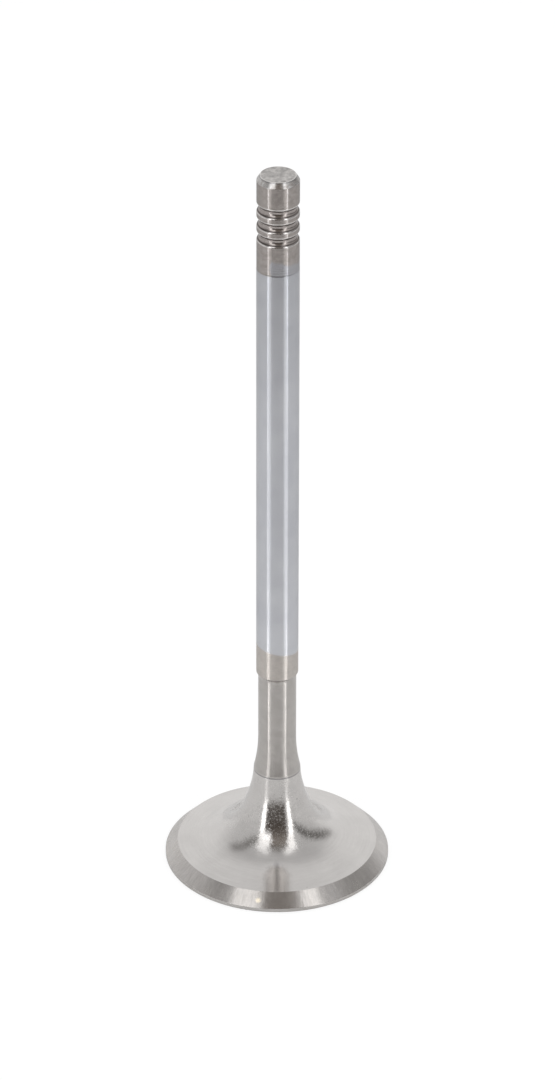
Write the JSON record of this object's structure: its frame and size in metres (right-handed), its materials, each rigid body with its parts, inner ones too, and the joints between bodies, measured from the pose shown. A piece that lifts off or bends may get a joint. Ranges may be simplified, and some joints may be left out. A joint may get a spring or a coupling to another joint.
{
  "type": "engine valve",
  "caption": "Poppet valve with a tulip-backed round head, a plated stem and round keeper grooves below a chamfered tip, to open and close an engine's port.",
  "frame": {"origin": "centre of the flat combustion face, on the stem's axis", "axes": "+Z along the stem's axis, from the combustion face to the tip; X and Y are free, as the valve is round"},
  "size_m": [0.0374, 0.0374, 0.1276],
  "materials": {
    "valve_steel": "satin, ground and partly chrome plated"
  },
  "bodies": {
    "root": {"valve": "valve_steel"}
  },
  "joints": []
}
